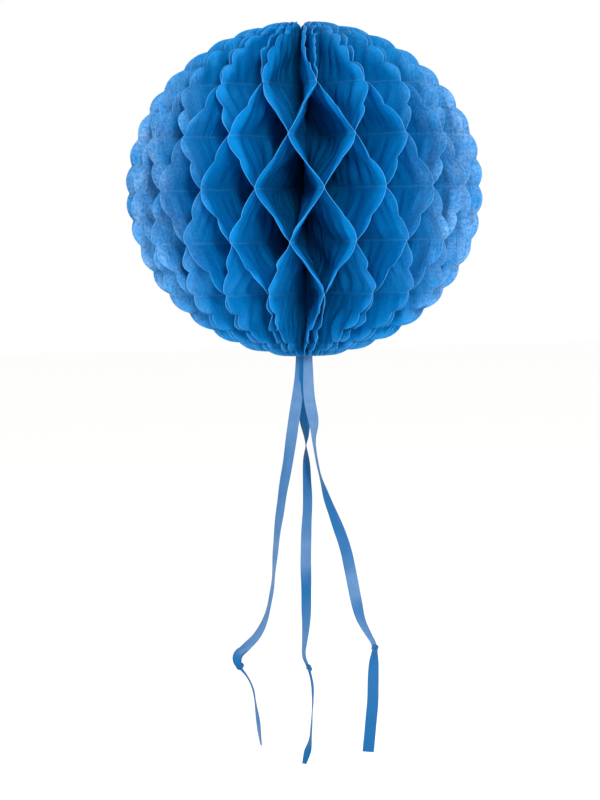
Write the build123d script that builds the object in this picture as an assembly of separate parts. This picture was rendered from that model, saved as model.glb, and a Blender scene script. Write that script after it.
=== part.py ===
from build123d import *
import math
import os

# Paper honeycomb ball with three hanging ribbons, in millimetres.
# The Z axis is the spine that every tissue leaf turns about, +Z is up, and the
# origin is the top of the draw thread's knot, by which the ball is hung.
# The two cover boards meet in the seam, an upright plane through the spine on the +Y side.

# Ball
EQUATOR_RADIUS = 150.0
HALF_HEIGHT = 141.5
KNOT_BELOW_TOP = 5.0
CENTRE_Z = KNOT_BELOW_TOP - HALF_HEIGHT

# Tissue leaves
LEAF_COUNT = 40
LEAF_PITCH = 360 / LEAF_COUNT
HALF_PITCH = math.radians(LEAF_PITCH / 2)
LEAF_THICKNESS = 0.1
LEAF_GAP = 0.3
INNER_RADIUS = 10.0
SEAM_TURN = 5.0
SEAM_ANGLE = 90.0 + SEAM_TURN

# Level glue lines, evenly spaced on the spread leaf
GLUE_PITCH = 43.5
COLUMN_SHARES = [0, 0.34, 0.68, 1]
LAST_LINE = 3

# Scallops along the leaf's edge
SCALLOP_ANGLE = 9.5
SCALLOP_DEPTH = 3.4
SCALLOP_STEPS = 4
OUTLINE_STEP = SCALLOP_ANGLE / SCALLOP_STEPS
POLE_ANGLE = 86.0
CAP_ANGLES = [POLE_ANGLE, 80.0, 74.0]

# Cover boards and the adhesive pads that hold them face to face
BOARD_THICKNESS = 0.4
BOARD_RADIUS = 146.0
BOARD_HALF_HEIGHT = 137.0
SEAM_GAP = 0.1
PAD_THICKNESS = 0.08
PAD_RADIUS = 8.0
PAD_PLACES = [(125, 0), (96, 84), (96, -84), (40, 112), (40, -112)]
BOARD_CLEARANCE = 0.75

# Spine, its draw thread and the thread wrapping that gathers the ribbons
SPINE_RADIUS = 3.0
SPINE_BORE = 0.9
SPINE_TOP = -5.0
THREAD_RADIUS = 0.7
KNOT_RADIUS = 2.2
GATHER_RADIUS = 8.5
GATHER_TOP = -259.0
GATHER_BOTTOM = -268.0

# Ribbons: a round stand-in for a flat ribbon 10 wide, hung from the gather
RIBBON_TUBE_RADIUS = 2.5
LEFT_ROUTE = [
    (-5, -1.5, -268), (-5, -1.5, -287), (-9.5, -3.5, -313.5), (-14.5, -6.5, -340),
    (-18, -8.5, -364), (-23, -9.5, -388.5), (-27, -11.5, -412.5), (-30.5, -13, -436),
    (-32.5, -15, -458.5), (-35, -16, -479.5), (-39.5, -16.5, -499.5), (-47.5, -18, -516),
    (-57.5, -19.5, -525), (-65.5, -20.5, -532.5), (-64, -21.5, -542.5), (-57, -21, -550.5),
    (-52.5, -20, -561), (-51, -20, -573.5), (-49.5, -21, -586), (-48.5, -21, -598),
    (-47, -20.5, -610),
]
MIDDLE_ROUTE = [
    (-0.5, 3.2, -268), (-0.5, 3.2, -289.5), (-2, 4.5, -314.5), (-1.5, 4.5, -339),
    (-3.5, 4, -357), (-3, 3, -380.5), (-2.5, 1.5, -403.5), (-4.5, 1, -430),
    (-5.5, 1.5, -455), (-5.5, 3, -481.5), (-6, 4, -507), (-7.5, 4, -525),
    (-9.5, 3.5, -538), (-4.5, 3, -548.5), (-1.5, 2.5, -560.5), (-1, 3.5, -574.5),
    (-2.5, 4, -590), (-4, 3.5, -607), (-6.5, 3, -620), (-10.5, 2.5, -632.5),
]
RIGHT_ROUTE = [
    (3.4, -4, -268), (3.4, -4, -289.5), (2.8, -5, -314.5), (4.5, -4, -337),
    (3.5, -2.5, -352), (6, 0.5, -370), (11, 4, -393.5), (20.5, 7.5, -420),
    (29, 10.5, -444), (33.5, 12, -468.5), (37.5, 13.5, -492.5), (41, 14, -509),
    (47.5, 14.5, -522), (53.5, 15, -532), (52, 15.5, -544.5), (51, 15, -562.5),
    (50.5, 14, -580.5), (48.5, 14, -598), (46, 14.5, -621),
]

# Overhand knots: where each one sits on its ribbon, and its half-sizes
KNOTS = {
    "knot_left": ((-64.5, -20.5, -534.5), (5, 3.4, 11)),
    "knot_middle": ((-4.5, 3, -548.5), (3, 3, 4)),
    "knot_right": ((53, 15, -535), (3.3, 3.2, 5.5)),
}


def outline(angle):
    """(x, height) of the leaf's edge at an angle from the equator, scallops and all."""
    across = (angle / SCALLOP_ANGLE) % 1 * 2 - 1
    share = 1 - SCALLOP_DEPTH / EQUATOR_RADIUS * across**2
    turn = math.radians(angle)
    return EQUATOR_RADIUS * share * math.cos(turn), HALF_HEIGHT * share * math.sin(turn)


def glue_line_end(line):
    """The angle at which a glue line meets the leaf's edge."""
    low, high = 0.0, 80.0
    for _ in range(50):
        middle = (low + high) / 2
        height = outline(middle)[1]
        if height < line * GLUE_PITCH:
            low = middle
        else:
            high = middle
    return low


def between(start, end):
    """The outline's points after one angle and before another."""
    count = int(90 / OUTLINE_STEP)
    angles = [i * OUTLINE_STEP for i in range(count)]
    inner = [a for a in angles if min(start, end) + 0.3 < a < max(start, end) - 0.3]
    return [outline(a) for a in (inner if start < end else reversed(inner))]


def drawn(x, side, near):
    """How far the tissue is drawn aside where it is glued, at a distance x from the spine.

    side is +1 or -1, and near[side] is how close the tissue comes to the plane halfway
    to the leaf on that side.
    """
    return side * (x * math.tan(HALF_PITCH) - near[side])


def glue_row(line, side, near):
    """The leaf's points along one glue line, from the spine outwards."""
    far = outline(glue_line_end(line))[0]
    columns = [INNER_RADIUS + share * (far - INNER_RADIUS) for share in COLUMN_SHARES]
    return [(x, drawn(x, side, near), line * GLUE_PITCH) for x in columns]


def cap_row(row, side, near):
    """The edge points over the last glue line, where the tissue is free."""
    edge = []
    for angle in CAP_ANGLES:
        x, height = outline(angle)
        x = max(x, INNER_RADIUS)
        part = height / GLUE_PITCH - LAST_LINE
        start = drawn(x, side, near)
        edge.append((x, start + part * (drawn(x, -side, near) - start), height))
    return edge + [row[-1]]


def facet(corners, edge_points=()):
    """A flat facet: three corners, with points of the leaf's edge after the second one."""
    a, b, c = [Vector(*p) for p in corners]
    normal = (b - a).cross(c - a)

    def aside(x, z):
        return a.Y - (normal.X * (x - a.X) + normal.Z * (z - a.Z)) / normal.Y

    extra = [(x, aside(x, z), z) for x, z in edge_points]
    return corners[:2] + extra + corners[2:]


def leaf_facets(side, near):
    """The facets of one spread leaf in its own frame, where x runs out from the spine,
    y is towards the next leaf and z is the height over the equator. side is the side
    that it is drawn to at the equator, and the side changes at each glue line."""
    sides = [side * (-1) ** line for line in range(LAST_LINE + 1)]
    rows = [glue_row(line, s, near) for line, s in enumerate(sides)]
    spans = list(zip(range(3), range(1, 4)))
    facets = []
    for line in range(LAST_LINE):
        lower, upper = rows[line], rows[line + 1]
        edge_points = between(glue_line_end(line), glue_line_end(line + 1))
        for i, j in spans:
            on_edge = edge_points if j == len(spans) else ()
            facets.append(facet([lower[i], lower[j], upper[j]], on_edge))
            facets.append(facet([lower[i], upper[j], upper[i]]))
    last = rows[LAST_LINE]
    edge = cap_row(last, sides[LAST_LINE], near)
    angles = CAP_ANGLES + [glue_line_end(LAST_LINE)]
    for i, j in spans:
        edge_points = between(angles[j], angles[i])
        facets.append(facet([last[i], edge[j], edge[i]], edge_points))
        if j < len(spans):
            facets.append(facet([last[i], last[j], edge[j]]))
    below = [[(x, y, -z) for x, y, z in reversed(points)] for points in facets]
    return facets + below


def thicken(facets):
    """A closed solid of the leaf's thickness, from facets that all turn the same way."""

    def moved(points, y_shift):
        return [(x, y + y_shift, z) for x, y, z in points]

    def key(point):
        return tuple(round(value, 4) + 0.0 for value in point)

    half = LEAF_THICKNESS / 2
    edges = {}
    for points in facets:
        for start, end in zip(points, points[1:] + points[:1]):
            edges[key(start), key(end)] = [start, end]
    rim = [pair for (start, end), pair in edges.items() if (end, start) not in edges]
    walls = [moved(pair, -half) + moved(pair[::-1], half) for pair in rim]
    skins = [moved(points, shift) for points in facets for shift in (-half, half)]
    faces = [Face(Wire.make_polygon(points)) for points in skins + walls]
    return Solid(Shell(faces))


def make_leaves():
    """Every leaf: alike but for the side it is drawn to, and room for the boards."""
    middle = (LEAF_THICKNESS + LEAF_GAP) / 2
    masters = {}
    leaves = {}
    for number in range(1, LEAF_COUNT + 1):
        side = 1 if number % 2 == 0 else -1
        near_low = BOARD_CLEARANCE if number == 1 else middle
        near_high = BOARD_CLEARANCE if number == LEAF_COUNT else middle
        kind = side, near_low, near_high
        if kind not in masters:
            masters[kind] = thicken(leaf_facets(side, {-1: near_low, 1: near_high}))
        azimuth = SEAM_ANGLE + (number - 0.5) * LEAF_PITCH
        place = Pos(0, 0, CENTRE_Z) * Rot(0, 0, azimuth)
        leaves[f"leaf_{number:02d}"] = place * masters[kind]
    return leaves


def make_board(near_x, far_x):
    """A half-oval card board in the seam, its straight edge along the spine."""
    start = math.asin(INNER_RADIUS / BOARD_RADIUS)
    angles = [start + i / 4 * (math.pi / 2 - start) for i in range(5)]
    rise = [(BOARD_RADIUS * math.sin(a), BOARD_HALF_HEIGHT * math.cos(a)) for a in angles]
    with BuildSketch(Plane.YZ) as board:
        with BuildLine():
            upper = Spline([(y, z) for y, z in rise], tangents=[(1, -0.06), (0, -1)])
            mirror(upper, about=Plane.XZ)
            Line(rise[0], (rise[0][0], -rise[0][1]))
        make_face()
    solid = extrude(board.sketch, abs(far_x - near_x), dir=(1, 0, 0))
    return Rot(0, 0, SEAM_TURN) * Pos(min(near_x, far_x), 0, CENTRE_Z) * solid


def make_boards():
    half_gap = SEAM_GAP / 2
    outer = half_gap + BOARD_THICKNESS
    return {
        "cover_board_fixed": make_board(-half_gap, -outer),
        "cover_board_swing": make_board(half_gap, outer),
    }


def make_pads():
    """Thin adhesive discs on the fixed board's face, which the other board sticks to."""
    disc = Rot(0, 90, 0) * Cylinder(PAD_RADIUS, PAD_THICKNESS)
    x = -SEAM_GAP / 2 + PAD_THICKNESS / 2
    places = [Rot(0, 0, SEAM_TURN) * Pos(x, y, CENTRE_Z + z) for y, z in PAD_PLACES]
    return {"closure_pads": Compound([place * disc for place in places])}


def upright(radius, low, high):
    """A round bar on the spine's axis."""
    middle = (low + high) / 2
    return Pos(0, 0, middle) * Cylinder(radius, high - low)


def make_spine():
    """The pasted straight edges of the tissue, the thread through them, its top knot
    and the wrapping at its lower end that holds the ribbons."""
    knot = Pos(0, 0, -KNOT_RADIUS) * Sphere(KNOT_RADIUS)
    core = upright(SPINE_RADIUS, GATHER_TOP, SPINE_TOP)
    bore = upright(SPINE_BORE, GATHER_TOP, SPINE_TOP)
    return {
        "spine_core": core - bore,
        "draw_thread": upright(THREAD_RADIUS, GATHER_TOP, -KNOT_RADIUS) + knot,
        "ribbon_gather": fillet(
            upright(GATHER_RADIUS, GATHER_BOTTOM, GATHER_TOP).edges(), 1.0
        ),
    }


def corner_radii(route):
    """Each corner's radius: 0.45 of its shorter run over the tangent of half its turn."""
    radii = []
    for before, here, after in zip(route, route[1:], route[2:]):
        run_in = Vector(*here) - Vector(*before)
        run_out = Vector(*after) - Vector(*here)
        half_turn = math.radians(run_in.get_angle(run_out)) / 2
        radii.append(0.45 * min(run_in.length, run_out.length) / math.tan(half_turn))
    return radii


def make_ribbon(name, route):
    """A tube along the ribbon's route, with its tightest bend and its volume printed."""
    radii = corner_radii(route)
    path = FilletPolyline(*route, radius=radii).wire()
    section = Plane(origin=path @ 0, z_dir=path % 0) * Circle(RIBBON_TUBE_RADIUS)
    tube = sweep(section, path=path)
    expected = math.pi * RIBBON_TUBE_RADIUS**2 * path.length
    print(name, "length", round(path.length, 1), "radii", [round(r, 1) for r in radii])
    print(name, "volume over section times length", round(tube.volume / expected, 4))
    return tube


def make_knot(place, half_sizes):
    """The closed outline of an overhand knot: a ball drawn out to its three half-sizes."""
    return Pos(*place) * scale(Sphere(1), by=half_sizes)


def build():
    parts = make_leaves() | make_boards() | make_pads() | make_spine()
    routes = {"left": LEFT_ROUTE, "middle": MIDDLE_ROUTE, "right": RIGHT_ROUTE}
    for side, route in routes.items():
        parts[f"ribbon_{side}"] = make_ribbon(f"ribbon_{side}", route)
    for name, (place, half_sizes) in KNOTS.items():
        parts[name] = make_knot(place, half_sizes)
    return parts


os.makedirs("parts", exist_ok=True)
for node, shape in build().items():
    shape.label = node
    export_step(shape, f"parts/{node}.step")
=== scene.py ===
import math

import bpy
import numpy as np
from mathutils import Matrix, Vector


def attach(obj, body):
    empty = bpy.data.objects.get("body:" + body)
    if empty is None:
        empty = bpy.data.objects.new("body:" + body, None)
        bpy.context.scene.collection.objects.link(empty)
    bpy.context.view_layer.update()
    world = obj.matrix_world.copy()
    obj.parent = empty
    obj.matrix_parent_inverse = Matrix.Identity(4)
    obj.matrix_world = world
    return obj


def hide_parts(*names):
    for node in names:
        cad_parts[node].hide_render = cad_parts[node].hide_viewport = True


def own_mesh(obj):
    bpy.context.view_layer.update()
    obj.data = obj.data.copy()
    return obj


# Paper honeycomb ball with three hanging ribbons, in metres. +Z is up, the spine is the
# Z axis, and the ball is hung by the knot at the origin.
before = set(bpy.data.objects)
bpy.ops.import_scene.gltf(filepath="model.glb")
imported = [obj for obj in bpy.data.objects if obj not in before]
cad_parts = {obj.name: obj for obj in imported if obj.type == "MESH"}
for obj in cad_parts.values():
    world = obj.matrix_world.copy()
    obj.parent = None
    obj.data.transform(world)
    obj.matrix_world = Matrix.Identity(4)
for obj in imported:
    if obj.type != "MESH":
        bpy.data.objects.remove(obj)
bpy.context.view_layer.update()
scene = bpy.context.scene


# ---------------------------------------------------------------- camera and studio
# The ball hangs in a white room over a plain pale floor, lit by a soft box over the
# camera and one at each side. The camera stands level with the ball, looks down a
# little to take in the ribbons, and is slightly rolled.
CAMERA_PLACE = Vector((-0.0075, -2.2, -0.165))
CAMERA_AIM = Vector((-0.0075, 0.0, -0.316))
CAMERA_LENS = 115.7
SENSOR_WIDTH = 36.0
FARTHEST_SEEN = 100.0
CAMERA_ROLL = math.radians(1.2)

camera_data = bpy.data.cameras.new("camera")
camera_data.lens = CAMERA_LENS
camera_data.sensor_width = SENSOR_WIDTH
camera_data.clip_end = FARTHEST_SEEN
camera = bpy.data.objects.new("camera", camera_data)
scene.collection.objects.link(camera)
look = (CAMERA_AIM - CAMERA_PLACE).to_track_quat("-Z", "Y").to_matrix().to_4x4()
rolled = look @ Matrix.Rotation(-CAMERA_ROLL, 4, "Z")
camera.matrix_world = Matrix.Translation(CAMERA_PLACE) @ rolled
scene.camera = camera
scene.view_settings.view_transform = "Standard"

ROOM_WHITE = "#ffffff"
ROOM_STRENGTH = 1.0
FLOOR_WHITE = "#fdfdfc"
FLOOR_HEIGHT = -0.95
FLOOR_REACH = 14.0


def linear(hex_colour):
    """An sRGB hex colour as linear RGBA: a dark channel over 12.92, any other by the 2.4 power curve."""
    channels = [int(hex_colour[i : i + 2], 16) / 255 for i in (1, 3, 5)]
    return [c / 12.92 if c <= 0.04045 else ((c + 0.055) / 1.055) ** 2.4 for c in channels] + [1.0]


def add_node(tree, kind, settings=(), **sockets):
    """Adds a node. The settings are its own properties, and each socket, by name or as i0, i1 and so on
    by number, gets a value or a link from another node's output, given as (node, output)."""
    node = tree.nodes.new(kind)
    for name, value in dict(settings).items():
        setattr(node, name, value)
    for name, value in sockets.items():
        by_number = name[0] == "i" and name[1:].isdigit()
        socket = node.inputs[int(name[1:]) if by_number else name.replace("_", " ")]
        if isinstance(value, tuple) and isinstance(value[0], bpy.types.Node):
            tree.links.new(value[0].outputs[value[1]], socket)
        else:
            socket.default_value = value
    return node


def new_material(name):
    """An empty node material, its tree, and its output node."""
    material = bpy.data.materials.new(name)
    material.use_nodes = True
    material.node_tree.nodes.clear()
    return material, material.node_tree, material.node_tree.nodes.new("ShaderNodeOutputMaterial")


room = bpy.data.worlds.new("white_room")
room.use_nodes = True
walls = room.node_tree.nodes["Background"]
walls.inputs["Color"].default_value = linear(ROOM_WHITE)
walls.inputs["Strength"].default_value = ROOM_STRENGTH
scene.world = room

# Rolled matt emulsion on the studio floor: no gloss, and the same white all over.
floor_paint, tree, out = new_material("floor_matt_paint")
paint = add_node(tree, "ShaderNodeBsdfPrincipled", Base_Color=linear(FLOOR_WHITE), Roughness=0.9)
tree.links.new(paint.outputs[0], out.inputs["Surface"])
floor_mesh = bpy.data.meshes.new("floor")
corners = [(-FLOOR_REACH, -FLOOR_REACH), (FLOOR_REACH, -FLOOR_REACH)]
corners += [(FLOOR_REACH, FLOOR_REACH), (-FLOOR_REACH, FLOOR_REACH)]
floor_mesh.from_pydata([(x, y, FLOOR_HEIGHT) for x, y in corners], [], [(0, 1, 2, 3)])
floor_mesh.materials.append(floor_paint)
floor = bpy.data.objects.new("floor", floor_mesh)
scene.collection.objects.link(floor)

# Each soft box by its place, the side of its square and its watts.
LAMP_AIM = Vector((0, 0, -0.18))
SOFT_BOXES = {
    "front_box": ((0.3, -2.6, 0.45), 0.4, 42.0),
    "left_box": ((-2.1, -1.35, 0.25), 0.6, 42.0),
    "right_box": ((2.1, -1.35, 0.45), 0.6, 48.0),
}
for name, (place, side, power) in SOFT_BOXES.items():
    lamp = bpy.data.lights.new(name, "AREA")
    lamp.shape = "SQUARE"
    lamp.size = side
    lamp.energy = power
    box = bpy.data.objects.new(name, lamp)
    scene.collection.objects.link(box)
    toward = (LAMP_AIM - Vector(place)).to_track_quat("-Z", "Y")
    box.matrix_world = Matrix.Translation(place) @ toward.to_matrix().to_4x4()


# ---------------------------------------------------------------- ribbons
# Three lengths of 10 mm satin ribbon, one continuous piece each, caught by a thread
# wrapping under the spine. They hang limp, turn edge-on here and there, and have one
# overhand knot each above a loose tail with a square cut.
RIBBON_WIDTH = 0.0100
RIBBON_THICKNESS = 0.00035  # real satin is thinner, too thin for its edge to show
RIBBON_ACROSS = 9  # points from edge to edge
SPLINE_STEPS = 14
# The cup is the rise of the ribbon's middle over its edges. It grows as the ribbon is
# gathered, by a power of the width lost. The waver is a slow ripple along the ribbon.
RIBBON_CUP = 0.0004
GATHERED_CUP, GATHERED_POWER = 0.0022, 1.3
WAVER_DEPTH, WAVER_PER_M, WAVER_SLANT = 0.00018, 190, 2.1

# Each route is its cord's centre line in the CAD, in mm. The turns are (mm along it,
# degrees from facing the front, share of the full width, tone from dark to light as a
# painted sheen that is paler where a stretch lies face on to the light, mm set aside to +X
# where ribbons lie over each other). A knot is (place, half sizes in mm, degrees leaned
# over). Forward is (mm along, mm towards -Y), longer is mm added at the cut end, and fold
# is the route of a flat turn that lies round a loose knot.
RIBBONS = {
    "ribbon_left": {
        "route": [
            (-5, -1.5, -268), (-5, -1.5, -287), (-9.5, -3.5, -313.5), (-14.5, -6.5, -340),
            (-18, -8.5, -364), (-23, -9.5, -388.5), (-27, -11.5, -412.5), (-30.5, -13, -436),
            (-32.5, -15, -458.5), (-35, -16, -479.5), (-39.5, -16.5, -499.5), (-47.5, -18, -516),
            (-57.5, -19.5, -525), (-65.5, -20.5, -532.5), (-64, -21.5, -542.5), (-57, -21, -550.5),
            (-52.5, -20, -561), (-51, -20, -573.5), (-49.5, -21, -586), (-48.5, -21, -598),
            (-47, -20.5, -610),
        ],
        "turns": [
            (0, 8, 0.7, 0, -1.5), (16, 8, 0.75, 0.3, -1.5), (40, 4, 0.9, 0.75, -0.5), (60, 14, 1, 0.8, 0),
            (85, 24, 1, 0.5, 0), (110, 36, 1, 0.35, 0), (140, 46, 1, 0.5, 0), (178, 64, 1, 0.85, 0),
            (200, 76, 1, 0.9, 0), (224, 74, 1, 0.8, 0), (244, 62, 1, 0.8, 0), (262, 44, 0.9, 0.9, 0),
            (270, 24, 0.8, 0.5, 0), (280, 20, 0.6, 0.1, 0), (288, 60, 0.5, 0.1, 0), (300, 80, 0.7, 0.1, 0),
            (318, 84, 0.9, 0.3, 0), (334, 66, 0.95, 0.5, 0), (348, 72, 0.9, 0.8, 0), (358, 80, 0.8, 0.7, 0),
        ],
        "knot": ((-63.6, -20.5, -541.5), (3.4, 3, 4), 25),
        "fold": [
            (-57.5, -19.5, -526.5), (-62, -22, -527), (-65.5, -24, -530.5), (-66.8, -24.5, -535),
            (-65.8, -24, -539), (-63.8, -22.5, -542.5),
        ],
    },
    "ribbon_middle": {
        "route": [
            (-0.5, 3.2, -268), (-0.5, 3.2, -289.5), (-2, 4.5, -314.5), (-1.5, 4.5, -339),
            (-3.5, 4, -357), (-3, 3, -380.5), (-2.5, 1.5, -403.5), (-4.5, 1, -430),
            (-5.5, 1.5, -455), (-5.5, 3, -481.5), (-6, 4, -507), (-7.5, 4, -525),
            (-9.5, 3.5, -538), (-4.5, 3, -548.5), (-1.5, 2.5, -560.5), (-1, 3.5, -574.5),
            (-2.5, 4, -590), (-4, 3.5, -607), (-6.5, 3, -620), (-10.5, 2.5, -632.5),
        ],
        "turns": [
            (0, 0, 0.6, 0, -3.2), (20, 6, 0.7, 0, -3), (45, 8, 0.94, 0, -2.6), (66, 22, 1, 0.1, -2.4),
            (86, 88, 1, 0.1, 0), (106, 132, 1, 0.1, 0), (130, 142, 0.95, 0.25, 0), (165, 156, 0.95, 0.6, 0),
            (185, 166, 0.95, 0.95, 0), (198, 160, 0.95, 0.5, 0), (206, 150, 1, 0, 0), (226, 146, 1, 0.2, 0),
            (250, 134, 0.9, 0.5, 0), (266, 118, 0.6, 0.8, 0), (280, 116, 0.4, 0.3, 0),
            (290, 100, 0.4, 0, 0), (310, 92, 0.6, 0.5, 0), (328, 93, 0.8, 0.7, 0),
            (342, 100, 0.9, 0.1, 0), (354, 128, 0.95, 0, 0), (362, 150, 0.85, 0, 0),
            (367, 112, 0.5, 0, 0),
        ],
        "forward": [(0, 5.9), (20, 6.5), (45, 8.1), (68, 5), (86, 1.5), (106, 0)],
        "knot": ((-4.5, 3, -548.5), (2.5, 2.6, 3.6), -30),
    },
    "ribbon_right": {
        "route": [
            (3.4, -4, -268), (3.4, -4, -289.5), (2.8, -5, -314.5), (4.5, -4, -337),
            (3.5, -2.5, -352), (6, 0.5, -370), (11, 4, -393.5), (20.5, 7.5, -420),
            (29, 10.5, -444), (33.5, 12, -468.5), (37.5, 13.5, -492.5), (41, 14, -509),
            (47.5, 14.5, -522), (53.5, 15, -532), (52, 15.5, -544.5), (51, 15, -562.5),
            (50.5, 14, -580.5), (48.5, 14, -598), (46, 14.5, -621),
        ],
        "turns": [
            (0, -6, 0.7, 0, -3.4), (14, -4, 0.8, 0.9, -3.4), (40, -4, 0.95, 1, -3), (58, -8, 1, 0.9, -1.5),
            (68, -40, 1, 0.9, 0), (80, -68, 1, 0.9, 0), (94, -82, 1, 0.8, 0), (116, -82, 1, 0.1, 0),
            (140, -52, 1, 0.1, 0), (170, -20, 1, 0.15, 0), (198, -8, 1, 0.35, 0), (210, -6, 1, 0.9, 0),
            (222, -6, 1, 0.95, 0), (236, -10, 0.95, 0.2, 0), (252, -36, 0.8, 0.6, 0),
            (268, -50, 0.55, 0.8, 0), (278, -30, 0.55, 0.1, 0), (286, -10, 0.85, 0.1, 0),
            (300, -6, 0.96, 0.15, 0), (330, -4, 1, 0.1, 0), (362, -8, 1, 0.05, 0),
        ],
        "longer": 4.5,
        "knot": ((53, 15, -535), (3.1, 3, 5), 10),
    },
}
# The fold's turns, in the same columns; the fourth is its tone, a painted sheen.
FOLD_TURNS = [(0, 50, 0.5, 0.8, 0), (6, 30, 0.65, 0.6, 0), (12, 10, 0.7, 0.1, 0), (22, 10, 0.5, 0, 0)]

# Knots: the strand's radius in metres for each mm of the knot's least half size, how
# flat it is pressed, its creases (depth, number) round it and along it, and its tone, a
# painted sheen in bands along the strand.
STRAND_RADIUS = 0.00055
STRAND_FLATNESS = 0.8
KNOT_STEPS, KNOT_SIDES = 96, 14
CREASES_ROUND, CREASES_ALONG = (0.1, 5), (0.08, 7)
KNOT_TONE, KNOT_TONE_RISE, KNOT_TONE_PER_M = 0.08, 0.1, 900


def spline_points(name, route):
    """Points along the second-degree NURBS spline that has the route's points as its control points."""
    curve = bpy.data.curves.new(name, "CURVE")
    curve.dimensions = "3D"
    curve.resolution_u = SPLINE_STEPS
    spline = curve.splines.new("NURBS")
    spline.points.add(len(route) - 1)
    control = np.ones((len(route), 4))
    control[:, :3] = np.array(route) / 1000
    spline.points.foreach_set("co", control.ravel())
    spline.order_u = 3
    spline.use_endpoint_u = True
    carrier = bpy.data.objects.new(name, curve)
    line = bpy.data.meshes.new_from_object(carrier)
    points = np.empty(len(line.vertices) * 3)
    line.vertices.foreach_get("co", points)
    bpy.data.objects.remove(carrier)
    bpy.data.curves.remove(curve)
    bpy.data.meshes.remove(line)
    return points.reshape(-1, 3)


def mesh_piece(name, points, faces, material, uv=None, values=(), sharp=50):
    """A smooth-shaded object from arrays of points and faces. There is one uv pair a point, and values
    are (name, one number a point). Edges that turn by more than sharp degrees stay sharp."""
    mesh = bpy.data.meshes.new(name)
    mesh.from_pydata(points.tolist(), [], faces.tolist())
    mesh.materials.append(material)
    if uv is not None:
        corner = np.empty(len(mesh.loops), np.int64)
        mesh.loops.foreach_get("vertex_index", corner)
        mesh.uv_layers.new(name="UVMap").data.foreach_set("uv", uv[corner].astype(np.float32).ravel())
    for label, numbers in values:
        mesh.attributes.new(label, "FLOAT", "POINT").data.foreach_set("value", numbers.astype(np.float32))
    mesh.shade_smooth()
    mesh.set_sharp_from_angle(angle=math.radians(sharp))
    piece = bpy.data.objects.new(name, mesh)
    scene.collection.objects.link(piece)
    return piece


def sheet_faces(rows, columns):
    """Faces of a closed thin sheet of two skins, rows by columns points each. The first skin faces the
    way of row direction cross column direction, the second is its back, and a rim strip joins them."""
    grid = np.arange(rows * columns).reshape(rows, columns)
    quads = np.stack([grid[:-1, :-1], grid[1:, :-1], grid[1:, 1:], grid[:-1, 1:]], -1).reshape(-1, 4)
    back = quads[:, ::-1] + rows * columns
    ring = np.concatenate([grid[0], grid[1:, -1], grid[-1, -2::-1], grid[-2:0:-1, 0]])
    onward = np.roll(ring, -1)
    rim = np.stack([ring, onward, onward + rows * columns, ring + rows * columns], -1)
    return np.concatenate([quads, back, rim])


def unit(vectors):
    """Vectors over their lengths."""
    return vectors / np.linalg.norm(vectors, axis=-1, keepdims=True)


def eased(places, keys, values, reach=5):
    """Values between keys at the given places: straight from key to key, then each one the mean of
    itself and its neighbours out to the reach on both sides."""
    straight = np.interp(places, keys, values)
    window = 2 * reach + 1
    return np.convolve(np.pad(straight, reach, "edge"), np.ones(window) / window, "valid")


def arc_length(line):
    """The length along a line of points at each of its points."""
    return np.concatenate([[0], np.cumsum(np.linalg.norm(np.diff(line, axis=0), axis=1))])


def ribbon_sheet(line, turns):
    """Both skins of a ribbon along a line. The width starts across the line in the plane of X and Z and
    is turned about the line by each turn's angle. It is cupped by a parabola and wavers by a sine along
    it, and each skin lies half a thickness off the middle. It gives points, faces, UVs and tone, the
    painted sheen."""
    along = arc_length(line)
    keys, *tracks = np.array(turns, float).T
    degrees, share, tone, aside = (eased(along * 1000, keys, track) for track in tracks)
    angle = np.radians(degrees)[:, None]
    tangent = unit(np.gradient(line, axis=0))
    flat = unit(np.cross(tangent, (0, 1, 0)))
    deep = np.cross(tangent, flat)
    width = np.cos(angle) * flat + np.sin(angle) * deep
    normal = np.cross(tangent, width)
    across = np.linspace(-1, 1, RIBBON_ACROSS)
    cup = RIBBON_CUP + GATHERED_CUP * np.clip(1 - share, 0, 1) ** GATHERED_POWER
    waver = WAVER_DEPTH * np.sin(along[:, None] * WAVER_PER_M + across * WAVER_SLANT)
    rise = cup[:, None] * (1 - across**2) + waver
    spread = share[:, None] * across * RIBBON_WIDTH / 2
    middle = line[:, None] + spread[..., None] * width[:, None] + rise[..., None] * normal[:, None]
    middle[..., 0] += aside[:, None] / 1000
    half = normal[:, None] * RIBBON_THICKNESS / 2
    uv = np.stack(np.broadcast_arrays(across * RIBBON_WIDTH / 2, along[:, None]), -1).reshape(-1, 2)
    skins = np.concatenate([(middle + half).reshape(-1, 3), (middle - half).reshape(-1, 3)])
    tone = np.repeat(tone, RIBBON_ACROSS)
    faces = sheet_faces(len(line), RIBBON_ACROSS)
    return skins, faces, np.concatenate([uv, uv]), np.concatenate([tone, tone])


# Satin ribbon, woven from dyed acetate: a soft gloss, with fine threads along its
# length that break up the light, and a little light through the weave. The tone is a
# painted sheen: the stretches that lie face on to the light are painted paler.
SATIN_DARK, SATIN_BLUE, SATIN_LIGHT = "#00477a", "#0a6096", "#587ba2"
THREADS_PER_M = 2600.0  # 0.4 mm apart, where real ones are too fine to show
THREAD_STRETCH = 0.02  # a thread runs fifty times as long as it is wide
SHEEN_CLOUDS_PER_M = 90.0  # the painted sheen is uneven, in clouds 11 mm across

BLEND = {"data_type": "RGBA"}  # a Mix node's setting for colours
SHARE_OF = {"operation": "MULTIPLY", "use_clamp": True}  # a Math node's, for a share of a share

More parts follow.
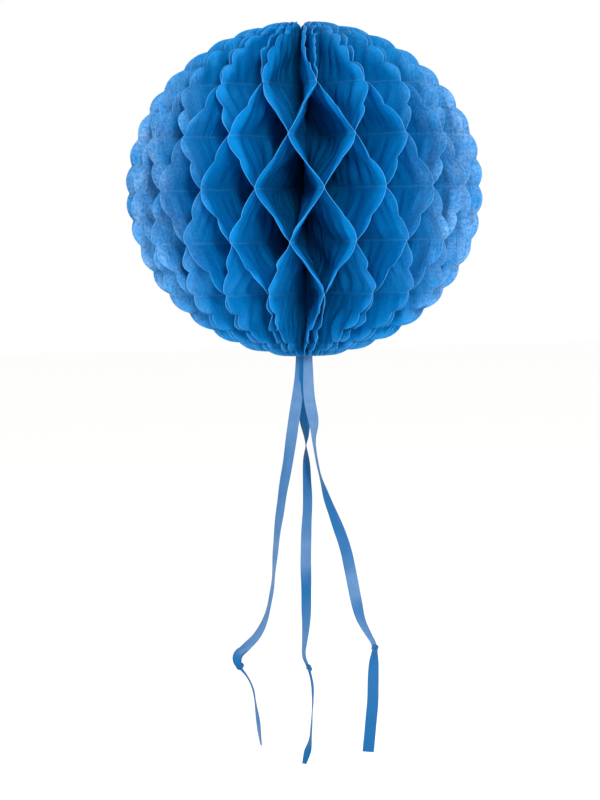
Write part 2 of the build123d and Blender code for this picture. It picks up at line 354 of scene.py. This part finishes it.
satin, tree, out = new_material("woven_satin_ribbon")
place = add_node(tree, "ShaderNodeUVMap")
stretched = add_node(tree, "ShaderNodeMapping", Vector=(place, 0), Scale=(1.0, THREAD_STRETCH, 1.0))
threads = add_node(tree, "ShaderNodeTexNoise", Vector=(stretched, 0), Scale=THREADS_PER_M, Detail=2.0)
clouds = add_node(tree, "ShaderNodeTexNoise", Vector=(place, 0), Scale=SHEEN_CLOUDS_PER_M, Detail=3.0)
sheen = add_node(tree, "ShaderNodeAttribute", {"attribute_name": "tone"})
woven = add_node(
    tree, "ShaderNodeMix", BLEND, i0=(threads, 0), i6=linear(SATIN_DARK), i7=linear(SATIN_BLUE)
)
uneven = add_node(tree, "ShaderNodeMapRange", i0=(clouds, 0), i1=0.3, i2=0.7, i3=0.8, i4=1.15)
lit = add_node(tree, "ShaderNodeMath", SHARE_OF, i0=(sheen, 2), i1=(uneven, 0))
colour = add_node(tree, "ShaderNodeMix", BLEND, i0=(lit, 0), i6=(woven, 2), i7=linear(SATIN_LIGHT))
relief = add_node(tree, "ShaderNodeBump", Height=(threads, 0), Strength=0.35, Distance=0.0002)
body = add_node(
    tree,
    "ShaderNodeBsdfPrincipled",
    Base_Color=(colour, 2),
    Normal=(relief, 0),
    Roughness=0.42,
    Specular_IOR_Level=0.1,
    Anisotropic=0.4,
)
through = add_node(tree, "ShaderNodeBsdfTranslucent", Color=(colour, 2), Normal=(relief, 0))
mixed = add_node(tree, "ShaderNodeMixShader", i0=0.28, i1=(body, 0), i2=(through, 0))
tree.links.new(mixed.outputs[0], out.inputs["Surface"])


def ring_faces(rows, columns):
    """Faces of a grid that closes on itself both ways, facing the way of row cross column direction."""
    grid = np.arange(rows * columns).reshape(rows, columns)
    right, down = np.roll(grid, -1, 1), np.roll(grid, -1, 0)
    both = np.roll(right, -1, 0)
    return np.stack([grid, down, both, right], -1).reshape(-1, 4)


def tied_knot(place, half_sizes, lean, strand, flatness):
    """An overhand knot's strand: a trefoil, x = sin t + 2 sin 2t, z = cos t - 2 cos 2t, y = -sin 3t,
    drawn to its half sizes less the strand and leaned over. The section carried round it is an oval,
    creased by one sine round it and one along the strand."""
    t = np.linspace(0, 2 * np.pi, KNOT_STEPS, endpoint=False)
    curve = np.stack([np.sin(t) + 2 * np.sin(2 * t), -np.sin(3 * t), np.cos(t) - 2 * np.cos(2 * t)], -1)
    size = np.array(half_sizes) / 1000 - strand
    curve = curve / np.abs(curve).max(0) * size
    forward = unit(np.roll(curve, -1, 0) - np.roll(curve, 1, 0))
    outward = unit(curve - (curve * forward).sum(1, keepdims=True) * forward + 1e-9)
    aside = np.cross(forward, outward)
    s = np.linspace(0, 2 * np.pi, KNOT_SIDES, endpoint=False)
    round_depth, round_count = CREASES_ROUND
    along_depth, along_count = CREASES_ALONG
    round_crease = round_depth * np.sin(round_count * s)
    reach = strand * (1 + round_crease + along_depth * np.sin(t[:, None] * along_count))
    section = np.cos(s)[:, None] * outward[:, None] * flatness + np.sin(s)[:, None] * aside[:, None]
    points = curve[:, None] + reach[..., None] * section
    turn = np.radians(lean)
    spin = np.array([[np.cos(turn), 0, np.sin(turn)], [0, 1, 0], [-np.sin(turn), 0, np.cos(turn)]])
    points = points.reshape(-1, 3) @ spin.T + np.array(place) / 1000
    uv = np.stack(np.broadcast_arrays(s * strand, t[:, None] * size.max()), -1).reshape(-1, 2)
    return points, ring_faces(KNOT_STEPS, KNOT_SIDES)[:, ::-1], uv


for name, facts in RIBBONS.items():
    line = spline_points(name, facts["route"])
    if "forward" in facts:
        keys, forward = np.array(facts["forward"], float).T
        line[:, 1] -= eased(arc_length(line) * 1000, keys, forward) / 1000
    if "longer" in facts:
        onward = unit(line[-1:] - line[-2:-1])
        line = np.concatenate([line, line[-1:] + onward * facts["longer"] / 1000])
    points, faces, uv, tone = ribbon_sheet(line, facts["turns"])
    ribbon = mesh_piece(name + "_band", points, faces, satin, uv, [("tone", tone)])
    spot, half_sizes, lean = facts["knot"]
    strand = min(half_sizes) * STRAND_RADIUS
    points, faces, uv = tied_knot(spot, half_sizes, lean, strand, STRAND_FLATNESS)
    # The knot's tone is a painted sheen, paler in bands along its strand.
    tone = KNOT_TONE + KNOT_TONE_RISE * np.sin(uv[:, 1] * KNOT_TONE_PER_M) ** 2
    if "fold" in facts:
        fold_line = spline_points("fold", facts["fold"])
        fold, fold_faces, fold_uv, fold_tone = ribbon_sheet(fold_line, FOLD_TURNS)
        faces = np.concatenate([faces, fold_faces + len(points)])
        points, uv = np.concatenate([points, fold]), np.concatenate([uv, fold_uv])
        tone = np.concatenate([tone, fold_tone])
    knot = mesh_piece(name.replace("ribbon", "knot") + "_tied", points, faces, satin, uv, [("tone", tone)])
    for piece, node in ((ribbon, name), (knot, name.replace("ribbon", "knot"))):
        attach(piece, "spine")
        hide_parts(node)


# ---------------------------------------------------------------- tissue leaves
# Forty half-discs of dyed tissue, die-cut with scallops, pasted together along the
# spine and by level glue lines that alternate from gap to gap. Spread into a ball, the
# leaves are drawn from side to side between the glue lines and leave diamond cells.
EQUATOR_RADIUS = 0.152
HALF_HEIGHT = 0.1427
CENTRE_HEIGHT = -0.1365
LEAF_COUNT = 40
LEAF_TURN = 360 / LEAF_COUNT
HALF_PITCH = math.radians(LEAF_TURN / 2)
SEAM_AZIMUTH = 95.0  # where the cover boards meet, in degrees from +X
LEAF_THICKNESS = 0.0003  # real tissue is 0.04 mm, too thin for its edge to show
SPINE_EDGE = 0.0031  # radius at which the leaves start
LEAST_ROW = 0.0004  # length of the shortest rows, at the poles

# A leaf's middle stays this far off the plane between it and its neighbour or a board.
NEAR_NEIGHBOUR = 0.0002
NEAR_BOARD = 0.00075

# Glue lines: the equator's and three above and below it. A slope between two lines is
# eased a little at its ends. Past the firm lines the tissue hangs loose, and comes back
# by this share of its half gap for each line's height, over so many lines.
GLUE_LINES, FIRM_LINES = 4, 2
GLUE_PITCH = 0.0435
GLUE_HALF_HEIGHT = 0.0011
SLOPE_EASE = 0.14
LOOSE_RETURN, LOOSE_LINES = 0.6, 1.25

# The cut edge, by angles from the equator in degrees. Even rows that come nearer to a
# glue line's rows than this share of a step are left out. The glue lines' angles are
# looked up on the edge. Near a pole the rows fan out from the spine instead of lying
# level. The top is parted by a notch over the spine.
SCALLOP_ANGLE = 9.5
SCALLOP_DEPTH = 0.0034
ROW_ANGLE = SCALLOP_ANGLE / 6
CLEAR_OF_GLUE = 0.3
LAST_ANGLE = 88.8
LEAF_COLUMNS = 48
LOOKUP_ANGLE, LOOKUP_STEPS = 75, 6001
POLAR_ANGLE, POLAR_RISE = 69, 0.0052
NOTCH_ANGLE, NOTCH_HEIGHT, NOTCH_SLOPE = 60, 0.1372, 1.25


def outline(angle):
    """The leaf's edge (radius, height) at an angle from the equator: an oval, drawn in by the square of
    the distance from each scallop's middle."""
    across = (angle / SCALLOP_ANGLE) % 1 * 2 - 1
    share = 1 - SCALLOP_DEPTH / EQUATOR_RADIUS * across**2
    turn = np.radians(angle)
    return EQUATOR_RADIUS * share * np.cos(turn), HALF_HEIGHT * share * np.sin(turn)


def leaf_angles():
    """The edge angles of a leaf's rows: even steps that meet every scallop's point, with three rows at
    each glue line in place of the steps next to it."""
    upper = np.arange(0, LAST_ANGLE, ROW_ANGLE)
    fine = np.linspace(0, LOOKUP_ANGLE, LOOKUP_STEPS)
    heights = outline(fine)[1]
    lines = np.arange(GLUE_LINES) * GLUE_PITCH
    shifts = (-GLUE_HALF_HEIGHT, 0, GLUE_HALF_HEIGHT)
    marks = [np.interp(lines + shift, heights, fine) for shift in shifts]
    marks = np.concatenate([marks[0][1:], marks[1], marks[2]])
    clear = np.abs(upper[:, None] - marks).min(1) > ROW_ANGLE * CLEAR_OF_GLUE
    upper = np.sort(np.concatenate([upper[clear], marks, [LAST_ANGLE]]))
    return np.concatenate([-upper[:0:-1], upper])


def zigzag(height, side):
    """How far across its gap a leaf is drawn at a height, from -1 to 1: steady over each glue line, then
    a slope to the other side at the next line, part straight and part smoothstep. Past the firm lines it
    only starts to come back. It is the same below the equator as above."""
    lines = np.abs(height) / GLUE_PITCH
    line = np.minimum(np.floor(lines), GLUE_LINES - 1)
    bond = GLUE_HALF_HEIGHT / GLUE_PITCH
    part = np.clip((lines - line - bond) / (1 - 2 * bond), 0, 1)
    part = part + SLOPE_EASE * (part**2 * (3 - 2 * part) - part)
    loose = 1 - LOOSE_RETURN * np.clip(lines - FIRM_LINES, 0, LOOSE_LINES)
    return side * np.where(lines < FIRM_LINES, (-1.0) ** line * (1 - 2 * part), loose)


# The widest cells: where they are, the degrees that the ball is turned away from them on
# each side, over how many degrees, and how far round that holds and then fades out.
PARTED_AZIMUTH, PARTED_TURN, PARTED_WIDTH = 271, 3.0, 12
PARTED_HOLD, PARTED_FADE = 65, 85


def parted(azimuth):
    """Degrees that the ball is turned at an azimuth, to widen the cells at the front: the same each way
    by a tanh curve, which a cosine fades out towards the back."""
    front = (azimuth - PARTED_AZIMUTH + 180) % 360 - 180
    fade = np.clip((np.abs(front) - PARTED_HOLD) / PARTED_FADE, 0, 1)
    return PARTED_TURN * np.tanh(front / PARTED_WIDTH) * (0.5 + 0.5 * np.cos(np.pi * fade))


# Creases: how many waves, their radians a metre out and up, how far one slow wave bends
# them, their depth as a share of the wavelength over two pi, and where they grow in.
CREASE_WAVES = 8
CREASE_OUT, CREASE_UP = (220, 620), (-110, 110)
CREASE_BEND, CREASE_BEND_PER_M = 1.4, 45
CREASE_DEPTH = 0.11
CREASE_START, CREASE_GROWTH = 0.006, 0.03


def crumple(rng, x, z):
    """Soft upright creases in thin tissue, in metres: a sum of sine waves, short across and long upwards,
    with random phases, each bent by one slow wave. They grow in from the spine."""
    total = np.zeros(np.broadcast(x, z).shape)
    for _ in range(CREASE_WAVES):
        across, upward = rng.uniform(*CREASE_OUT), rng.uniform(*CREASE_UP)
        phase, bend = rng.uniform(0, 2 * np.pi, 2)
        bent = phase + CREASE_BEND * np.sin(CREASE_BEND_PER_M * z + bend)
        total += np.sin(across * x + upward * z + bent) / across
    return total * CREASE_DEPTH * np.clip((x - CREASE_START) / CREASE_GROWTH, 0, 1)


# Swirl: degrees and radians a metre of the slow wave and of the quick one, how fast the
# quick one runs outwards, where the slow one starts, and how steeply both fade out.
SWIRL_SLOW, SWIRL_SLOW_PER_M, SWIRL_START = 8.5, 55, 0.8
SWIRL_QUICK, SWIRL_QUICK_PER_M, SWIRL_OUT_PER_M = 2.2, 190, 60
SWIRL_FADE = 1.4


def swirl(radius, z, azimuth):
    """Degrees that the leaves wander together inside the ball: two sine waves up the spine, most at the
    spine and none as far out as the equator, with phases that follow the azimuth so that neighbours
    stay in step."""
    inside = np.clip(1 - radius / EQUATOR_RADIUS, 0, 1)
    slow = np.sin(SWIRL_SLOW_PER_M * z + SWIRL_START + np.radians(azimuth))
    quick = np.sin(SWIRL_QUICK_PER_M * z + SWIRL_OUT_PER_M * radius + 2 * np.radians(azimuth))
    return inside**SWIRL_FADE * (SWIRL_SLOW * slow + SWIRL_QUICK * quick)


# Shells: how far in from the cut edge the curl starts, its lift at the edge, and the
# radius below which it turns the tissue no further.
SHELL_REACH, SHELL_LIFT, SHELL_LEAST_RADIUS = 0.012, 0.0036, 0.03
FRONT_AZIMUTH = 270


def shell(angles, rim, radius, azimuth):
    """Degrees that the cut edge curls round towards the back: each scallop is a shallow shell, by the
    square of the distance from its middle and from where the curl starts. The sine of the azimuth makes
    it most at the ball's sides and none at the front and back."""
    across = (angles / SCALLOP_ANGLE) % 1 * 2 - 1
    lift = (1 - across**2)[:, None] * np.clip(1 - rim / SHELL_REACH, 0, 1) ** 2
    curl = np.degrees(SHELL_LIFT * lift / np.maximum(radius, SHELL_LEAST_RADIUS))
    return np.sin(np.radians(azimuth - FRONT_AZIMUTH)) * curl


def flat_leaf(azimuth):
    """The flat leaf at an azimuth: its rows' edge angles, then how far out and up each point is, and how
    far it is from its row's end at the cut edge, in row by column grids. Rows run from the spine to the
    edge, level but near the poles, where their inner ends are spread evenly over the polar rise."""
    angles = leaf_angles()
    edge_x, edge_z = outline(angles)
    edge_x = np.maximum(edge_x, SPINE_EDGE + LEAST_ROW)
    polar = np.clip((np.abs(angles) - POLAR_ANGLE) / (LAST_ANGLE - POLAR_ANGLE), 0, 1)
    inner_z = np.sign(angles) * ((GLUE_LINES - 1) * GLUE_PITCH + polar * POLAR_RISE)
    inner_z = np.where(polar > 0, inner_z, edge_z)
    aside = np.abs(edge_x * math.cos(math.radians(azimuth)))
    notch = NOTCH_HEIGHT + aside * NOTCH_SLOPE
    edge_z = np.where(angles > NOTCH_ANGLE, np.minimum(edge_z, notch), edge_z)
    share = np.linspace(0, 1, LEAF_COLUMNS)
    x = SPINE_EDGE + share * (edge_x[:, None] - SPINE_EDGE)
    z = inner_z[:, None] + share * (edge_z - inner_z)[:, None]
    rim = np.linalg.norm(np.stack([edge_x[:, None] - x, edge_z[:, None] - z], -1), axis=-1)
    return angles, x, z, rim


# Between glue lines a leaf bows by up to this depth. Its freedom to move is one less its
# lean to this power, so none at a glue line. Each leaf has its own stretch of paper, this
# far from the next one's. The outer flanks, by the share of the radius aside, get a painted
# sheen for the light that falls on the ball's sides.
BOW_DEPTH, FREEDOM_POWER = 0.0016, 8
PAPER_STEP = 0.21
FLANK_START, FLANK_GROWTH = 0.5, 0.36


def leaf_skins(number, rng):
    """Both skins of one leaf, its faces, and at each point its place on the flat paper, its distances
    from the cut edge and from a glue line in mm, and how far out on the ball's flank it is. The tissue
    leans aside by the zigzag times its half gap, plus bows and creases where it is free to move. Then
    each point is turned round the spine to its azimuth and by the parting, the swirl and the shell."""
    side = 1 if number % 2 == 0 else -1
    near_lower = NEAR_BOARD if number == 1 else NEAR_NEIGHBOUR
    near_upper = NEAR_BOARD if number == LEAF_COUNT else NEAR_NEIGHBOUR
    azimuth = SEAM_AZIMUTH + (number - 0.5) * LEAF_TURN
    angles, x, z, rim = flat_leaf(azimuth)
    lean = zigzag(z, side)
    room = np.where(lean > 0, near_upper, near_lower)
    free = 1 - lean**FREEDOM_POWER
    lines = np.abs(z) / GLUE_PITCH
    strip = np.floor(lines) + GLUE_LINES * (z < 0)
    bows = rng.uniform(-1, 1, 2 * GLUE_LINES) * BOW_DEPTH
    bow = bows[np.clip(strip.astype(int), 0, 2 * GLUE_LINES - 1)] * np.sin(np.pi * lines) ** 2
    y = lean * (x * math.tan(HALF_PITCH) - room)
    y += (bow * (x / EQUATOR_RADIUS) + crumple(rng, x, z)) * free
    paper = np.stack([x + number * PAPER_STEP, z], -1).reshape(-1, 2)
    glued = np.abs(lines - np.round(lines)) * GLUE_PITCH
    skins, flanks = [], []
    for half in (LEAF_THICKNESS / 2, -LEAF_THICKNESS / 2):
        turned = azimuth + np.degrees(np.arctan2(y + half, x))
        radius = np.hypot(x, y + half)
        turned += parted(turned) + swirl(radius, z, turned) + shell(angles, rim, radius, turned)
        turned = np.radians(turned)
        skin = np.stack([radius * np.cos(turned), radius * np.sin(turned), z + CENTRE_HEIGHT], -1)
        skins.append(skin.reshape(-1, 3))
        # How far out on the ball's flank each point is, which sets the painted sheen there.
        flank = (np.abs(skin[..., 0]) / EQUATOR_RADIUS - FLANK_START) / FLANK_GROWTH
        flanks.append(np.clip(flank, 0, 1).ravel())
    twice = [np.concatenate([a, a]) for a in (paper, rim.ravel() * 1000, glued.ravel() * 1000)]
    faces = sheet_faces(len(angles), LEAF_COLUMNS)
    return np.concatenate(skins), faces, [*twice, np.concatenate(flanks)]


# Dyed tissue paper, 18 g/m2, creped on the drying roll: matt, cloudy where the fibres
# lie thicker, faintly ribbed upwards, and thin enough to glow with the light behind it.
TISSUE_DEEP, TISSUE_BLUE = "#0070b2", "#0083c8"
TISSUE_PALE = "#a3c0de"  # painted sheen on the ball's lit flanks
TISSUE_LINE_HIGHLIGHT = "#5fa2d6"  # painted highlight along the cut edge and along each glue line's crease
CLOUDS_PER_M = 360.0  # clouds of fibre, 3 mm across
FIBRES_PER_M = 1100.0  # 0.9 mm, where real fibres are too fine to show
RIBS_PER_M, RIB_STRETCH = 520.0, 0.07  # creping 2 mm wide, drawn coarse, in ribs 27 mm long
PATCHES_PER_M = 55.0  # patches of painted sheen, 18 mm across

tissue, tree, out = new_material("creped_tissue_paper")
place = add_node(tree, "ShaderNodeUVMap")
rim = add_node(tree, "ShaderNodeAttribute", {"attribute_name": "rim_mm"})
glue = add_node(tree, "ShaderNodeAttribute", {"attribute_name": "glue_mm"})
clouds = add_node(
    tree, "ShaderNodeTexNoise", Vector=(place, 0), Scale=CLOUDS_PER_M, Detail=5.0, Roughness=0.75
)
fibres = add_node(tree, "ShaderNodeTexNoise", Vector=(place, 0), Scale=FIBRES_PER_M, Detail=2.0)
upright = add_node(tree, "ShaderNodeMapping", Vector=(place, 0), Scale=(1.0, RIB_STRETCH, 1.0))
crepe = add_node(tree, "ShaderNodeTexNoise", Vector=(upright, 0), Scale=RIBS_PER_M, Detail=3.0)
cloudy = add_node(tree, "ShaderNodeMapRange", i0=(clouds, 0), i1=0.34, i2=0.7, i3=0.0, i4=1.0)
base = add_node(
    tree, "ShaderNodeMix", BLEND, i0=(cloudy, 0), i6=linear(TISSUE_DEEP), i7=linear(TISSUE_BLUE)
)
# Each glue line's crease and the cut edge get a painted highlight, a paler line where they
# catch the light. Both fade out within a millimetre.
on_glue = add_node(tree, "ShaderNodeMapRange", i0=(glue, 2), i1=0.2, i2=0.9, i3=0.2, i4=0.0)
on_rim = add_node(tree, "ShaderNodeMapRange", i0=(rim, 2), i1=0.1, i2=0.8, i3=0.4, i4=0.0)
# The ball's flanks get a painted sheen, pale in patches, for the light that falls on them,
# most within 3 mm of the cut edge and none from 30 mm in. The clouds of fibre show through them.
flank = add_node(tree, "ShaderNodeAttribute", {"attribute_name": "rubbed"})
outer = add_node(tree, "ShaderNodeMapRange", i0=(rim, 2), i1=3.0, i2=30.0, i3=0.5, i4=0.0)
patch = add_node(tree, "ShaderNodeTexNoise", Vector=(place, 0), Scale=PATCHES_PER_M, Detail=2.0)
patchy = add_node(tree, "ShaderNodeMapRange", i0=(patch, 0), i1=0.3, i2=0.68, i3=0.35, i4=1.5)
wear_and_sheen = add_node(tree, "ShaderNodeMath", {"operation": "MULTIPLY"}, i0=(patchy, 0), i1=(flank, 2))
rubbed = add_node(tree, "ShaderNodeMath", SHARE_OF, i0=(outer, 0), i1=(wear_and_sheen, 0))
clouded_sheen = add_node(tree, "ShaderNodeMath", {"operation": "MULTIPLY"}, i0=(rubbed, 0), i1=(cloudy, 0))
outside = add_node(tree, "ShaderNodeMix", BLEND, i0=(clouded_sheen, 0), i6=(base, 2), i7=linear(TISSUE_PALE))
lined = add_node(tree, "ShaderNodeMix", BLEND, i0=(on_glue, 0), i6=(outside, 2), i7=linear(TISSUE_LINE_HIGHLIGHT))
colour = add_node(tree, "ShaderNodeMix", BLEND, i0=(on_rim, 0), i6=(lined, 2), i7=linear(TISSUE_LINE_HIGHLIGHT))
ribs = add_node(tree, "ShaderNodeBump", Height=(crepe, 0), Strength=0.8, Distance=0.0007)
relief = add_node(
    tree, "ShaderNodeBump", Height=(fibres, 0), Strength=0.5, Distance=0.00025, Normal=(ribs, 0)
)
body = add_node(
    tree,
    "ShaderNodeBsdfPrincipled",
    Base_Color=(colour, 2),
    Normal=(relief, 0),
    Roughness=0.5,
    Specular_IOR_Level=0.14,
)
through = add_node(tree, "ShaderNodeBsdfTranslucent", Color=(colour, 2), Normal=(relief, 0))
mixed = add_node(tree, "ShaderNodeMixShader", i0=0.25, i1=(body, 0), i2=(through, 0))
tree.links.new(mixed.outputs[0], out.inputs["Surface"])

FIRST_SEED = 700

for number in range(1, LEAF_COUNT + 1):
    rng = np.random.default_rng(FIRST_SEED + number)
    points, faces, (paper, rim_mm, glue_mm, flank_share) = leaf_skins(number, rng)
    node = f"leaf_{number:02d}"
    # The flank share carries the painted sheen on the ball's flanks.
    values = [("rim_mm", rim_mm), ("glue_mm", glue_mm), ("rubbed", flank_share)]
    leaf = mesh_piece(node + "_tissue", points, faces, tissue, paper, values)
    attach(leaf, node)
    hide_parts(node)
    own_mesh(leaf)


# ---------------------------------------------------------------- cover boards and pads
# Two half-ovals of grey board, the first and last sheet of the flat pack, closed face
# to face at the back by five discs of double-sided adhesive. They stay as the CAD has
# them, and get their finish here.

# Grey board faced with blue paper: a matt face, mottled by the fibres under it, with
# small grey flecks where the facing has worn through.
BOARD_DARK, BOARD_BLUE, BOARD_GREY = "#0a4a80", "#22659c", "#8d8a82"
MOTTLES_PER_M = 420.0  # 2.4 mm across
FLECKS_PER_M = 1500.0  # 0.7 mm across

board, tree, out = new_material("grey_board_blue_faced")
place = add_node(tree, "ShaderNodeTexCoord")
mottle = add_node(
    tree, "ShaderNodeTexNoise", Vector=(place, 3), Scale=MOTTLES_PER_M, Detail=5.0, Roughness=0.7
)
fleck = add_node(tree, "ShaderNodeTexNoise", Vector=(place, 3), Scale=FLECKS_PER_M, Detail=1.0)
faced = add_node(tree, "ShaderNodeMix", BLEND, i0=(mottle, 0), i6=linear(BOARD_DARK), i7=linear(BOARD_BLUE))
wear_and_sheen = add_node(tree, "ShaderNodeMapRange", i0=(fleck, 0), i1=0.62, i2=0.75, i3=0.0, i4=0.5)
colour = add_node(tree, "ShaderNodeMix", BLEND, i0=(wear_and_sheen, 0), i6=(faced, 2), i7=linear(BOARD_GREY))
relief = add_node(tree, "ShaderNodeBump", Height=(mottle, 0), Strength=0.3, Distance=0.0002)
body = add_node(
    tree, "ShaderNodeBsdfPrincipled", Base_Color=(colour, 2), Normal=(relief, 0), Roughness=0.78
)
tree.links.new(body.outputs[0], out.inputs["Surface"])

# Acrylic adhesive on a paper carrier: a cream, slightly glossy and lumpy disc, with
# paler spots where air is caught under it.
PAD_CREAM, PAD_PALE = "#d8d6c8", "#efeee6"
BUBBLES_PER_M = 900.0  # 1.1 mm across

pad, tree, out = new_material("acrylic_adhesive_pad")
place = add_node(tree, "ShaderNodeTexCoord")
bubbles = add_node(tree, "ShaderNodeTexNoise", Vector=(place, 3), Scale=BUBBLES_PER_M, Detail=2.0)
colour = add_node(tree, "ShaderNodeMix", BLEND, i0=(bubbles, 0), i6=linear(PAD_CREAM), i7=linear(PAD_PALE))
relief = add_node(tree, "ShaderNodeBump", Height=(bubbles, 0), Strength=0.4, Distance=0.0001)
body = add_node(
    tree, "ShaderNodeBsdfPrincipled", Base_Color=(colour, 2), Normal=(relief, 0), Roughness=0.28
)
tree.links.new(body.outputs[0], out.inputs["Surface"])

for node, material in (("cover_board_fixed", board), ("cover_board_swing", board), ("closure_pads", pad)):
    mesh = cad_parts[node].data
    mesh.materials.clear()
    mesh.materials.append(material)


# ---------------------------------------------------------------- spine, thread and gather
# The straight edges of all forty leaves are pasted into a ribbed core round a cotton
# draw thread, knotted at the top. Its lower end winds round the ribbons' upper ends.
SPINE_RADIUS, SPINE_BORE = 0.0030, 0.0009
SPINE_TOP = -0.005
SPINE_ROWS, SPINE_SIDES = 60, 240
RIB_DEPTH = 0.035  # as a share of the radius

# Winding: turns of thread side by side, drawn in at both ends by an eased shoulder. The
# depths are shares of the radius.
GATHER_TOP, GATHER_BOTTOM = -0.259, -0.268
GATHER_RADIUS, GATHER_BORE = 0.0083, 0.0010
GATHER_ROWS, GATHER_SIDES = 70, 96
WIND_PITCH, WIND_DEPTH = 0.0010, 0.055
SHOULDER_HEIGHT, SHOULDER_DEPTH = 0.0018, 0.14

# Draw thread: two plies, the depth between them a share of the radius, and a knot of
# this half size in mm, leaned over by degrees, with its own strand.
THREAD_TOP, THREAD_RADIUS, THREAD_CORE = -0.0032, 0.0007, 0.0001
THREAD_ROWS, THREAD_SIDES = 240, 16
PLY_PITCH, PLY_DEPTH = 0.003, 0.22
TOP_KNOT, TOP_KNOT_LEAN, TOP_KNOT_STRAND = 2.2, 15, 0.0008


def revolved(profile, count, radial):
    """Points of a closed profile of (radius, height) turned round the Z axis in count steps, with each
    point's radius times radial(angle, height)."""
    angle = np.linspace(0, 2 * np.pi, count, endpoint=False)
    radius, height = np.array(profile).T
    radius = radius[:, None] * radial(angle, height[:, None])
    z = np.broadcast_to(height[:, None], radius.shape)
    return np.stack([radius * np.cos(angle), radius * np.sin(angle), z], -1).reshape(-1, 3)


def upright_loop(inner, outer, low, high, rows):
    """A closed profile: up the outer radius in rows, then straight down the inner one."""
    heights = np.linspace(low, high, rows)
    return np.concatenate([
        np.stack([np.full(rows, outer), heights], -1),
        np.stack([np.full(rows, inner), heights[::-1]], -1),
    ])


# Tissue edges soaked in paste: darker than dry tissue, stiff and lumpy, with a faint
# shine where the paste has dried on top.
PASTE_DARK, PASTE_BLUE = "#013a6a", "#125c93"
LUMPS_PER_M = 700.0  # 1.4 mm across

paste, tree, out = new_material("pasted_tissue_edges")
place = add_node(tree, "ShaderNodeTexCoord")
lumps = add_node(tree, "ShaderNodeTexNoise", Vector=(place, 3), Scale=LUMPS_PER_M, Detail=4.0)
colour = add_node(tree, "ShaderNodeMix", BLEND, i0=(lumps, 0), i6=linear(PASTE_DARK), i7=linear(PASTE_BLUE))
relief = add_node(tree, "ShaderNodeBump", Height=(lumps, 0), Strength=0.5, Distance=0.0003)
body = add_node(
    tree, "ShaderNodeBsdfPrincipled", Base_Color=(colour, 2), Normal=(relief, 0), Roughness=0.5
)
tree.links.new(body.outputs[0], out.inputs["Surface"])

# Blue cotton thread, two plies twisted: matt, with a soft bloom of loose fibre round it
# that lightens its outline.
COTTON_DARK, COTTON_BLUE = "#0a4a80", "#2a6ea6"
FUZZ_PER_M = 2400.0  # 0.4 mm, where real fibres are too fine to show

cotton, tree, out = new_material("twisted_cotton_thread")
place = add_node(tree, "ShaderNodeTexCoord")
fuzz = add_node(tree, "ShaderNodeTexNoise", Vector=(place, 3), Scale=FUZZ_PER_M, Detail=3.0)
colour = add_node(
    tree, "ShaderNodeMix", BLEND, i0=(fuzz, 0), i6=linear(COTTON_DARK), i7=linear(COTTON_BLUE)
)
relief = add_node(tree, "ShaderNodeBump", Height=(fuzz, 0), Strength=0.6, Distance=0.0002)
body = add_node(
    tree,
    "ShaderNodeBsdfPrincipled",
    Base_Color=(colour, 2),
    Normal=(relief, 0),
    Roughness=0.8,
    Sheen_Weight=0.4,
    Sheen_Roughness=0.5,
)
tree.links.new(body.outputs[0], out.inputs["Surface"])


def place_part(name, points, faces, material, node):
    """Makes a part of the spine, which rides on it and stands for its CAD node."""
    part = mesh_piece(name, points, faces, material)
    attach(part, "spine")
    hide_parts(node)


def rib(angle, height):
    """One less the rib depth times how far the cosine's size is from one: a ridge for each leaf."""
    return 1 - RIB_DEPTH * (1 - np.abs(np.cos(LEAF_COUNT / 2 * angle)))


profile = upright_loop(SPINE_BORE, SPINE_RADIUS, GATHER_TOP, SPINE_TOP, SPINE_ROWS)
points = revolved(profile, SPINE_SIDES, rib)
faces = ring_faces(2 * SPINE_ROWS, SPINE_SIDES)[:, ::-1]
place_part("spine_core_pasted", points, faces, paste, "spine_core")


def winding(angle, height):
    """One less the winding's depth at the grooves: a sine's size that climbs half a turn of the sine
    for one turn round, so that the thread winds like a screw."""
    return 1 - WIND_DEPTH * (1 - np.abs(np.sin(np.pi * height / WIND_PITCH + angle / 2)))


profile = upright_loop(GATHER_BORE, GATHER_RADIUS, GATHER_BOTTOM, GATHER_TOP, GATHER_ROWS)
from_end = np.minimum(profile[:, 1] - GATHER_BOTTOM, GATHER_TOP - profile[:, 1])
shoulder = np.clip(from_end / SHOULDER_HEIGHT, 0, 1)
profile[:GATHER_ROWS, 0] *= 1 - SHOULDER_DEPTH + SHOULDER_DEPTH * np.sqrt(shoulder[:GATHER_ROWS])
points = revolved(profile, GATHER_SIDES, winding)
faces = ring_faces(2 * GATHER_ROWS, GATHER_SIDES)[:, ::-1]
place_part("ribbon_gather_wound", points, faces, cotton, "ribbon_gather")


def plies(angle, height):
    """One less the ply depth in the two grooves between the plies, which turn once a ply pitch."""
    return 1 - PLY_DEPTH + PLY_DEPTH * np.abs(np.cos(angle - 2 * np.pi * height / PLY_PITCH))


profile = upright_loop(THREAD_CORE, THREAD_RADIUS, GATHER_TOP, THREAD_TOP, THREAD_ROWS)
points = revolved(profile, THREAD_SIDES, plies)
faces = ring_faces(2 * THREAD_ROWS, THREAD_SIDES)[:, ::-1]
knot_points, knot_faces, _ = tied_knot(
    (0, 0, -TOP_KNOT), (TOP_KNOT,) * 3, TOP_KNOT_LEAN, TOP_KNOT_STRAND, 1.0
)
faces = np.concatenate([faces, knot_faces + len(points)])
points = np.concatenate([points, knot_points])
place_part("draw_thread_twisted", points, faces, cotton, "draw_thread")
